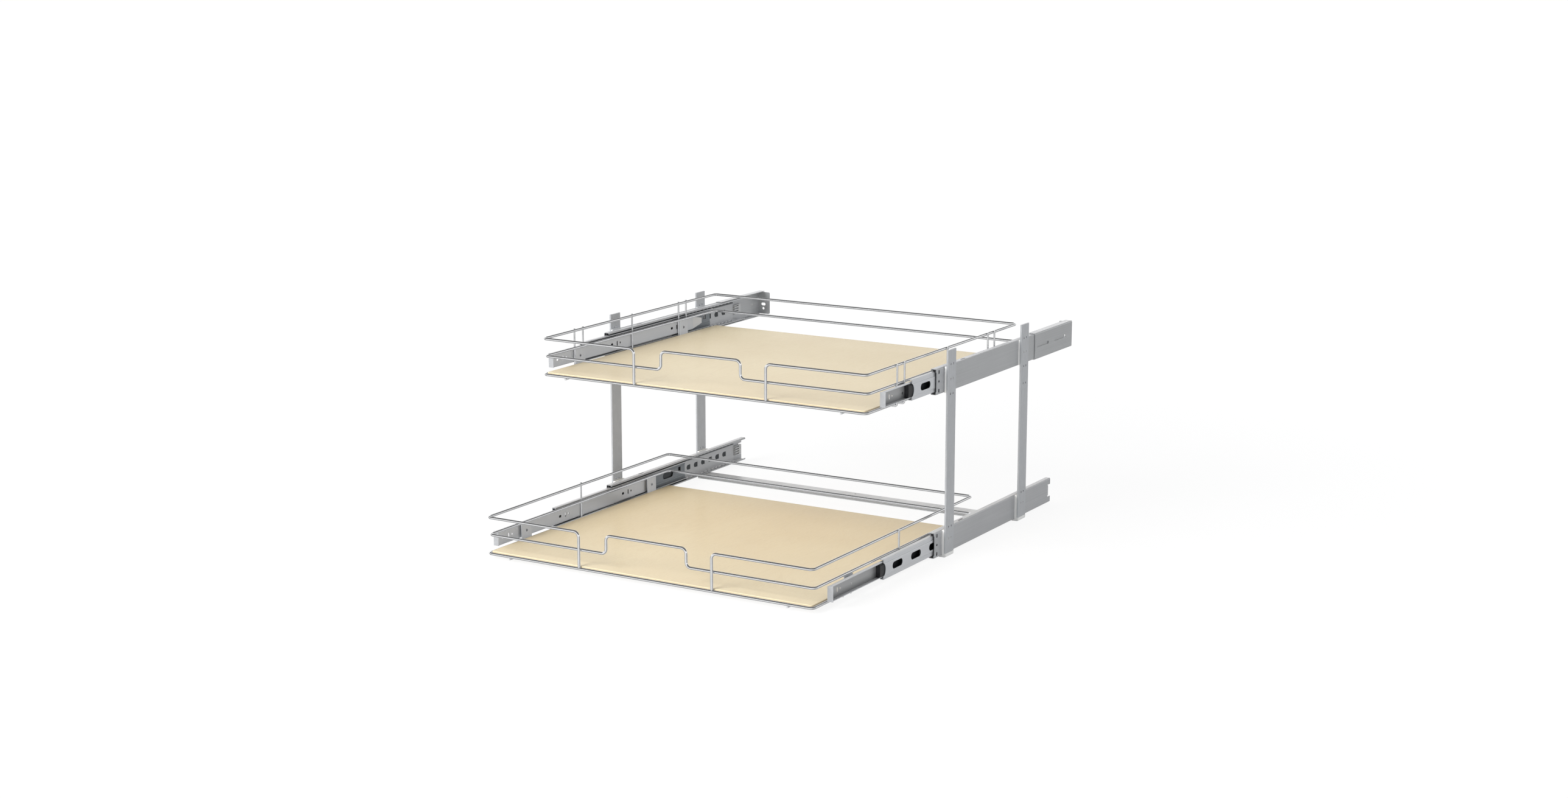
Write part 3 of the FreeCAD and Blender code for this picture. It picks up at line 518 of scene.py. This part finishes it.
class ORGANIZER_OT_ball_cages(Piece, bpy.types.Operator):
    """Thin strip of the ball cages and fixed strips, with painted shade under the lips, and the
    polished balls
    """

    bl_idname = "organizer.ball_cages"
    bl_label = "Cages and balls"

    def thin_strip(self, name, base):
        """Steel with the fine lines of thin strip."""
        return drawn_steel(name, base, 0.36, "y", lines=1300.0, cloud=30.0)

    def execute(self, context):
        look = self.finishes
        dress(self.thin_strip("cage_steel", look.cage), "cage_steel")
        strip = self.thin_strip("strip_steel", look.strip)
        tree, base, tone = tone_of(strip)
        up = parts_of(tree, position(tree))[2]
        shade_under_cover = 0.0
        for tier in TIERS:
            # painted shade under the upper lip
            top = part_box(tier + "_outer_member_right")[1].z
            near = inside(tree, up, top - LIP_SHADE_DEPTH, top)
            edge = spread(tree, up, top - LIP_SHADE_START, top - LIP_SHADE_FULL, 0.0, LIP_SHADE_SHARE)
            shade_under_cover = either(tree, shade_under_cover, every(tree, near, edge))
        tree.links.new(blend(tree, shade_under_cover, tone, look.slide_deep_shade), base)
        cover(strip, ["slide_rear_strips"])

        made, tree, shader = new_finish("ball_steel", Metallic=1.0)
        film_and_shade = noise(tree, position(tree), scale=400.0, detail=2.0)
        tree.links.new(blend(tree, film_and_shade, *shades(look.ball, 0.08)), shader.inputs["Base Color"])
        tree.links.new(swing(tree, film_and_shade, 0.05, 0.12), shader.inputs["Roughness"])
        dress(made, "ball_steel")
        return {"FINISHED"}


class ORGANIZER_OT_uprights(Piece, bpy.types.Operator):
    """Galvanised strip with a soft spangle, drawn along the uprights"""

    bl_idname = "organizer.uprights"
    bl_label = "Uprights"

    def execute(self, context):
        plain = self.finishes.upright
        made = drawn_steel(
            "upright_steel", plain, 0.40, "z", lines=700.0, cloud=9.0, contrast=0.035)
        tree, base, tone = tone_of(made)
        inputs = {"Vector": stretched(tree, (1.0, 1.0, 0.6)), "Scale": 160.0}
        cells = add(tree, "ShaderNodeTexVoronoi", inputs)
        grey = add(tree, "ShaderNodeSeparateColor", {0: cells.outputs["Color"]}).outputs[0]
        spangle = blend(tree, grey, *shades(plain, 0.05))
        tree.links.new(blend(tree, 0.4, tone, spangle), base)
        dress(made, "upright_steel")
        return {"FINISHED"}


class ORGANIZER_OT_rails_and_brackets(Piece, bpy.types.Operator):
    """Satin plated steel of rails, brackets and floor bars, and a lighter copy on the side plates as
    painted light
    """

    bl_idname = "organizer.rails_and_brackets"
    bl_label = "Rails, brackets and plates"

    def execute(self, context):
        look = self.finishes
        made = drawn_steel("plated_steel", look.plate, 0.36, "y", lines=800.0, cloud=11.0)
        dress(made, "plated_steel")
        # painted light: a lighter copy of the plated steel for the side plates
        made = drawn_steel(
            "side_plate_steel", look.lit_side_plate, 0.36, "z", lines=800.0, cloud=16.0)
        cover(made, [tier + "_slide_plates" for tier in TIERS])
        return {"FINISHED"}


class ORGANIZER_OT_rivets(Piece, bpy.types.Operator):
    """Bright rivets with a turned face"""

    bl_idname = "organizer.rivets"
    bl_label = "Rivets"

    def execute(self, context):
        made, tree, shader = new_finish("rivet_steel", Metallic=1.0)
        marks = noise(tree, position(tree), scale=900.0)
        tone = blend(tree, marks, *shades(self.finishes.rivet, 0.09))
        tree.links.new(tone, shader.inputs["Base Color"])
        tree.links.new(swing(tree, marks, 0.2, 0.34), shader.inputs["Roughness"])
        relief(tree, shader, marks, 0.00003)
        dress(made, "rivet_steel")
        return {"FINISHED"}


class ORGANIZER_OT_plastic_pieces(Piece, bpy.types.Operator):
    """Moulded plastic: near-white feet and pads, grey rear stops, black guides and plugs"""

    bl_idname = "organizer.plastic_pieces"
    bl_label = "Plastic pieces"

    def moulded(self, name, base, rough, grain_depth):
        """Plastic with the fine spark-eroded grain of its mould and slow changes of gloss."""
        made, tree, shader = new_finish(name, Specular_IOR_Level=0.45)
        points = position(tree)
        grain = noise(tree, points, scale=1800.0, detail=2.0, roughness=0.6)
        flow = noise(tree, points, scale=35.0)
        tree.links.new(blend(tree, flow, *shades(base, 0.05)), shader.inputs["Base Color"])
        gloss = combine(tree, "ADD", swing(tree, flow, rough - 0.05, rough + 0.05),
                        swing(tree, grain, -0.03, 0.03))
        tree.links.new(gloss, shader.inputs["Roughness"])
        relief(tree, shader, grain, grain_depth, 0.6)
        return made

    def execute(self, context):
        look = self.finishes
        for name, base, rough, depth in (
            ("white_plastic", look.white_plastic, 0.45, 0.00004),
            ("grey_plastic", look.grey_plastic, 0.42, 0.00004),
            ("black_plastic", look.black_plastic, 0.38, 0.00005),
        ):
            dress(self.moulded(name, base, rough, depth), name)
        return {"FINISHED"}


# Beads, balls and tabs
def link_mesh(name, points, faces):
    """New object in the scene from points and faces."""
    mesh = bpy.data.meshes.new(name)
    mesh.from_pydata(points.reshape(-1, 3).tolist(), [], faces)
    made = bpy.data.objects.new(name, mesh)
    bpy.context.scene.collection.objects.link(made)
    return made


def bead_mesh(name, centres, reaches, around=16, along=9, power=0.8):
    """Beads as one mesh. Each is an ellipsoid: with a from 0 to 2 pi, b from pole to pole and s the
    sine of b to a power, its points are centre + (rx cos a s, ry sin a s, rz cos b). Power 1 makes
    it true, and less makes it fuller near its middle."""
    a = np.linspace(0.0, 2.0 * np.pi, around, endpoint=False)
    b = np.linspace(0.0, np.pi, along)[1:-1]
    s = np.sin(b) ** power
    shape = np.stack([np.outer(s, np.cos(a)), np.outer(s, np.sin(a)),
                      np.outer(np.cos(b), np.ones(around))], axis=-1).reshape(-1, 3)
    shape = np.vstack([shape, [[0.0, 0.0, 1.0], [0.0, 0.0, -1.0]]])
    points = centres[:, None, :] + shape[None, :, :] * reaches[:, None, :]

    rows, columns = np.meshgrid(np.arange(along - 3), np.arange(around), indexing="ij")
    first = rows * around + columns
    beside = rows * around + (columns + 1) % around
    walls = np.stack([first, first + around, beside + around, beside], axis=-1).reshape(-1, 4)
    ring = np.arange(around)
    following = (ring + 1) % around
    last = (along - 3) * around
    north = np.full(around, last + around)
    top = np.stack([north, ring, following], axis=-1)
    bottom = np.stack([north + 1, last + following, last + ring], axis=-1)
    faces = []
    for shift in range(0, len(centres) * len(shape), len(shape)):
        for patch in (walls, top, bottom):
            faces += (patch + shift).tolist()
    made = link_mesh(name, points, faces)
    made.data.shade_smooth()
    return made


def tab_mesh(name, centres, ups, half_width, height, thickness, steps=10):
    """Half-round tabs as one mesh. With t from 0 to pi, a tab's outline is centre + (0, half width
    cos t, up height sin t), closed by its base, and it is carried half the thickness to each side
    along X."""
    t = np.linspace(0.0, np.pi, steps)
    points = np.zeros((len(centres), 2, steps, 3))
    points[:, 0, :, 0] = -0.5 * thickness
    points[:, 1, :, 0] = 0.5 * thickness
    points[..., 1] = half_width * np.cos(t)
    points[..., 2] = height * np.sin(t) * ups[:, None, None]
    points += centres[:, None, None, :]
    ring = np.arange(steps)
    following = np.roll(ring, -1)
    around = np.stack([ring, following, following + steps, ring + steps], axis=-1)
    faces = []
    for number, up in enumerate(ups):
        shift = number * 2 * steps
        patches = (around + shift).tolist()
        patches += [(ring[::-1] + shift).tolist(), (ring + shift + steps).tolist()]
        # a tab that hangs down is mirrored, so its faces are turned to look outwards again
        faces += patches if up > 0 else [patch[::-1] for patch in patches]
    return link_mesh(name, points, faces)


def rim_lines(tier):
    """Centre lines of a basket's rims, read from the boxes of its nodes."""
    low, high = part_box(tier + "_bottom_rim")
    radius = (high.z - low.z) / 2.0
    middle_low, middle_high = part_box(tier + "_middle_rim")
    return {
        "radius": radius,
        "side": high.x - radius,
        "front": low.y + radius,
        "rear": high.y - radius,
        "bottom": low.z + radius,
        "middle": middle_low.z + radius,
        "top": middle_high.z - radius,
    }


def weld_places(tier, sizes):
    """Contact points of a basket's crossing wires, and each bead's reach along X, Y and Z."""
    rim = rim_lines(tier)
    wide, flat = sizes.bead_width, sizes.bead_height
    lying, upright, facing = (wide, wide, flat), (flat, wide, wide), (wide, flat, wide)
    centre = (rim["front"] + rim["rear"]) / 2.0
    under = rim["bottom"] - rim["radius"]
    wall = rim["side"] + rim["radius"]
    offsets = (sizes.post_near, sizes.post_far)
    pairs = [centre + sign * offset for sign in (-1, 1) for offset in offsets]
    posts = [centre] + (pairs if tier == "upper" else [])
    places = []
    for side in (-1, 1):
        for y in posts:
            places += [((side * wall, y, z), upright) for z in (rim["middle"], rim["top"])]
        places += [((side * rim["side"], y, under), lying) for y in [centre] + pairs]
        x = side * sizes.long_wire
        crossings = [rim["front"], rim["rear"], centre] + pairs
        places += [((x, y, under), lying) for y in crossings]
        leg = side * sizes.leg
        places.append(((leg, rim["front"], rim["bottom"] + rim["radius"]), lying))
        places.append(((leg, rim["front"] + rim["radius"], rim["middle"]), facing))
    return np.array([place for place, _ in places]), np.array([reach for _, reach in places])


def slide_middles():
    """Heights of the slides' middles, tier by tier."""
    boxes = [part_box(tier + "_outer_member_right") for tier in TIERS]
    return np.array([(low.z + high.z) / 2.0 for low, high in boxes])


def ball_places(sizes):
    """Centres of full ball rows in the fixed strips: two a slide, above and below its middle."""
    low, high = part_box("slide_rear_balls")
    radius = sizes.ball / 2.0
    across = high.x - radius
    along = np.arange(low.y + radius, high.y, sizes.ball_pitch)
    middles = slide_middles()
    offset = middles[0] - low.z - radius
    heights = [middle + sign * offset for middle in middles for sign in (-1, 1)]
    grid = np.meshgrid((-across, across), along, heights, indexing="ij")
    return np.stack([axis.ravel() for axis in grid], axis=-1)


class ORGANIZER_OT_weld_beads(Piece, bpy.types.Operator):
    """Small resistance-weld beads where the basket wires cross"""

    bl_idname = "organizer.weld_beads"
    bl_label = "Weld beads"

    def execute(self, context):
        for tier in TIERS:
            centres, reaches = weld_places(tier, self.welds)
            made = bead_mesh(tier + "_weld_beads", centres, reaches)
            made.data.materials.append(bpy.data.materials["chrome_wire"])
            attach(made, tier + "_basket")
        return {"FINISHED"}


class ORGANIZER_OT_ball_rows(Piece, bpy.types.Operator):
    """Full rows of balls in the fixed strips at the rear of the slides"""

    bl_idname = "organizer.ball_rows"
    bl_label = "Ball rows"

    def execute(self, context):
        centres = ball_places(self.welds)
        reaches = np.full_like(centres, self.welds.ball / 2.0)
        made = bead_mesh("rear_ball_rows", centres, reaches, around=8, along=7, power=1.0)
        made.data.materials.append(bpy.data.materials["ball_steel"])
        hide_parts("slide_rear_balls")
        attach(made, "frame")
        return {"FINISHED"}


class ORGANIZER_OT_ball_tabs(Piece, bpy.types.Operator):
    """Half-round tabs that the fixed strips turn up beside each ball"""

    bl_idname = "organizer.ball_tabs"
    bl_label = "Ball tabs"

    def execute(self, context):
        sizes = self.welds
        centres = ball_places(sizes)
        middles = slide_middles()
        nearest = middles[np.abs(centres[:, 2:3] - middles[None, :]).argmin(axis=1)]
        # a tab points to the middle of its slide
        ups = np.where(centres[:, 2] < nearest, 1.0, -1.0)
        centres[:, 0] -= np.sign(centres[:, 0]) * sizes.tab_inset
        centres[:, 2] -= ups * sizes.tab_drop
        made = tab_mesh("rear_ball_tabs", centres, ups, sizes.tab_width / 2.0, sizes.tab_height,
                        sizes.tab_gauge)
        made.data.materials.append(bpy.data.materials["cage_steel"])
        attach(made, "frame")
        return {"FINISHED"}


# Stage
FLOOR_HALF = 30.0
FLOOR_HEIGHT = -0.0002
FLOOR_WHITE = 1.02
SHADOW_FADE = (0.9, 1.8)  # the object's shadow is gone at this distance from its middle
LAMP_AIM = (0.0, -0.1, 0.15)
KEY_PLACE, KEY_SIZE = (-1.3, -3.6, 2.0), 2.2
TOP_PLACE, TOP_SIZE = (0.3, 0.4, 3.6), 3.0
SOFT_WHITE = (0.98, 0.99, 1.0, 1.0)
WHITE = (1.0, 1.0, 1.0, 1.0)
# what metal mirrors above the horizon: a direction's rise, and how bright the studio is there
MIRRORED_SKY = ((0.0, 0.75), (0.12, 1.0), (0.26, 0.9), (0.38, 0.16), (0.85, 0.13), (1.0, 0.2))
# below it, the floor in front, and the floor from the sides to behind
FRONT_FLOOR, BESIDE_FLOOR, BEHIND_FLOOR = 0.75, 0.26, 0.40
FRONT_END, BESIDE_START, BEHIND_START = -0.75, -0.35, 0.6
MIRRORED_LEVEL = 1.35


def soft_lamp(name, place, size, power):
    """Square area lamp aimed at the object."""
    lamp = bpy.data.lights.new(name, "AREA")
    lamp.shape = "SQUARE"
    lamp.size = size
    lamp.energy = power
    made = bpy.data.objects.new(name, lamp)
    made.location = place
    aim = Vector(LAMP_AIM) - Vector(place)
    made.rotation_euler = aim.to_track_quat("-Z", "Y").to_euler()
    made.visible_glossy = False
    bpy.context.scene.collection.objects.link(made)


def glow(tree, tone, strength):
    """Light of one tone from the world."""
    return add(tree, "ShaderNodeBackground", {"Color": tone, "Strength": strength}).outputs[0]


def mixed(tree, factor, first, second):
    """Two shaders mixed by a factor."""
    return add(tree, "ShaderNodeMixShader", {0: factor, 1: first, 2: second}).outputs[0]


def mirrored_rays(tree, path):
    """1 for the rays that a mirror or clear plastic sends on."""
    return either(tree, path["Is Glossy Ray"], path["Is Transmission Ray"])


class ORGANIZER_OT_stage(bpy.types.Operator):
    """Pale floor, soft studio light and the camera"""

    bl_idname = "organizer.stage"
    bl_label = "Stage"

    def mirrored_studio(self, tree, ahead, rise):
        """A white wall under a dark ceiling, and below the horizon a floor that is bright in front
        and grey at the sides and behind."""
        sky = add(tree, "ShaderNodeValToRGB", {0: rise})
        points = sky.color_ramp.elements
        while len(points) < len(MIRRORED_SKY):
            points.new(0.5)
        for point, (place, shade) in zip(points, MIRRORED_SKY):
            point.position = place
            point.color = (shade, shade, shade, 1.0)
        beside = spread(tree, ahead, BESIDE_START, BEHIND_START, BESIDE_FLOOR, BEHIND_FLOOR)
        ground = spread(tree, ahead, FRONT_END, BESIDE_START, FRONT_FLOOR, beside)
        inputs = {0: above(tree, rise, 0.0), 2: ground, 3: sky.outputs[0]}
        seen = add(tree, "ShaderNodeMix", inputs, data_type="FLOAT").outputs[0]
        return glow(tree, WHITE, combine(tree, "MULTIPLY", seen, MIRRORED_LEVEL))

    def world(self, sizes):
        """Light from all round, stronger near the horizon. Metal mirrors a studio of its own, and
        the camera sees plain white."""
        made = bpy.data.worlds.new("studio")
        made.use_nodes = True
        tree = made.node_tree
        tree.nodes.clear()
        path = add(tree, "ShaderNodeLightPath").outputs
        _, ahead, rise = parts_of(tree, add(tree, "ShaderNodeTexCoord").outputs["Generated"])
        plain = glow(tree, SOFT_WHITE, spread(tree, rise, 0.0, 1.0, sizes.wall, sizes.ceiling))
        studio = self.mirrored_studio(tree, ahead, rise)
        lit = mixed(tree, mirrored_rays(tree, path), plain, studio)
        shown = mixed(tree, path["Is Camera Ray"], lit, glow(tree, WHITE, 1.0))
        add(tree, "ShaderNodeOutputWorld", {"Surface": shown})
        bpy.context.scene.world = made

    def floor(self, sizes):
        """Pale matt square, the points (x, y, height) with x and y from -half to half. It looks
        white from the camera, keeps some of the object's shadow, and mirrors don't see it."""
        x, y = np.meshgrid((-FLOOR_HALF, FLOOR_HALF), (-FLOOR_HALF, FLOOR_HALF))
        points = np.stack([x.ravel(), y.ravel(), np.full(4, FLOOR_HEIGHT)], axis=-1)
        made = link_mesh("floor", points, [(0, 1, 3, 2)])
        finish = bpy.data.materials.new("pale_floor")
        finish.use_nodes = True
        tree = finish.node_tree
        tree.nodes.clear()
        path = add(tree, "ShaderNodeLightPath").outputs
        matt = add(tree, "ShaderNodeBsdfDiffuse", {"Color": (*sizes.floor, 1.0)}).outputs[0]
        inputs = {"Color": WHITE, "Strength": FLOOR_WHITE}
        white = add(tree, "ShaderNodeEmission", inputs).outputs[0]
        away = add(tree, "ShaderNodeVectorMath", {0: position(tree)}, operation="LENGTH")
        kept = spread(tree, away.outputs["Value"], *SHADOW_FADE, 1.0 - sizes.shadow, 1.0)
        seen = mixed(tree, every(tree, path["Is Camera Ray"], kept), matt, white)
        clear = add(tree, "ShaderNodeBsdfTransparent").outputs[0]
        shown = mixed(tree, mirrored_rays(tree, path), seen, clear)
        add(tree, "ShaderNodeOutputMaterial", {"Surface": shown})
        made.data.materials.append(finish)

    def camera(self, sizes):
        """Camera at the place and with the lens of the settings."""
        lens = bpy.data.cameras.new("camera")
        lens.sensor_width = 36.0
        lens.lens = sizes.lens
        lens.clip_end = 100.0
        made = bpy.data.objects.new("camera", lens)
        made.location = sizes.place
        made.rotation_euler = sizes.turn
        bpy.context.scene.collection.objects.link(made)
        bpy.context.scene.camera = made

    def execute(self, context):
        sizes = context.scene.organizer_stage
        self.world(sizes)
        self.floor(sizes)
        soft_lamp("key_lamp", KEY_PLACE, KEY_SIZE, sizes.key_power)
        soft_lamp("top_lamp", TOP_PLACE, TOP_SIZE, sizes.top_power)
        self.camera(sizes)
        context.scene.view_settings.view_transform = "Standard"
        return {"FINISHED"}


GROUPS = (
    (ORGANIZER_PG_finishes, "organizer_finishes", "Finishes"),
    (ORGANIZER_PG_welds, "organizer_welds", "Beads and balls"),
    (ORGANIZER_PG_stage, "organizer_stage", "Stage settings"),
)
STEPS = (
    ORGANIZER_OT_basket_wires,
    ORGANIZER_OT_wood_floors,
    ORGANIZER_OT_slide_members,
    ORGANIZER_OT_ball_cages,
    ORGANIZER_OT_uprights,
    ORGANIZER_OT_rails_and_brackets,
    ORGANIZER_OT_rivets,
    ORGANIZER_OT_plastic_pieces,
    ORGANIZER_OT_weld_beads,
    ORGANIZER_OT_ball_rows,
    ORGANIZER_OT_ball_tabs,
    ORGANIZER_OT_stage,
)


class ORGANIZER_PT_panel(bpy.types.Panel):
    """Lists the organizer's settings and steps"""

    bl_idname = "ORGANIZER_PT_panel"
    bl_label = "Cabinet organizer"
    bl_space_type = "VIEW_3D"
    bl_region_type = "UI"
    bl_category = "Organizer"

    def draw(self, context):
        for group, attribute, title in GROUPS:
            box = self.layout.box()
            box.label(text=title)
            for key in group.__annotations__:
                box.prop(getattr(context.scene, attribute), key)
        for step in STEPS:
            self.layout.operator(step.bl_idname)


def register():
    for group, attribute, _ in GROUPS:
        bpy.utils.register_class(group)
        setattr(bpy.types.Scene, attribute, PointerProperty(type=group))
    for step in STEPS:
        bpy.utils.register_class(step)
    bpy.utils.register_class(ORGANIZER_PT_panel)


def unregister():
    bpy.utils.unregister_class(ORGANIZER_PT_panel)
    for step in reversed(STEPS):
        bpy.utils.unregister_class(step)
    for group, attribute, _ in reversed(GROUPS):
        delattr(bpy.types.Scene, attribute)
        bpy.utils.unregister_class(group)


def main():
    register()
    bpy.ops.organizer.basket_wires()
    bpy.ops.organizer.wood_floors()
    bpy.ops.organizer.slide_members()
    bpy.ops.organizer.ball_cages()
    bpy.ops.organizer.uprights()
    bpy.ops.organizer.rails_and_brackets()
    bpy.ops.organizer.rivets()
    bpy.ops.organizer.plastic_pieces()
    bpy.ops.organizer.weld_beads()
    bpy.ops.organizer.ball_rows()
    bpy.ops.organizer.ball_tabs()
    bpy.ops.organizer.stage()


if __name__ == "__main__":
    main()
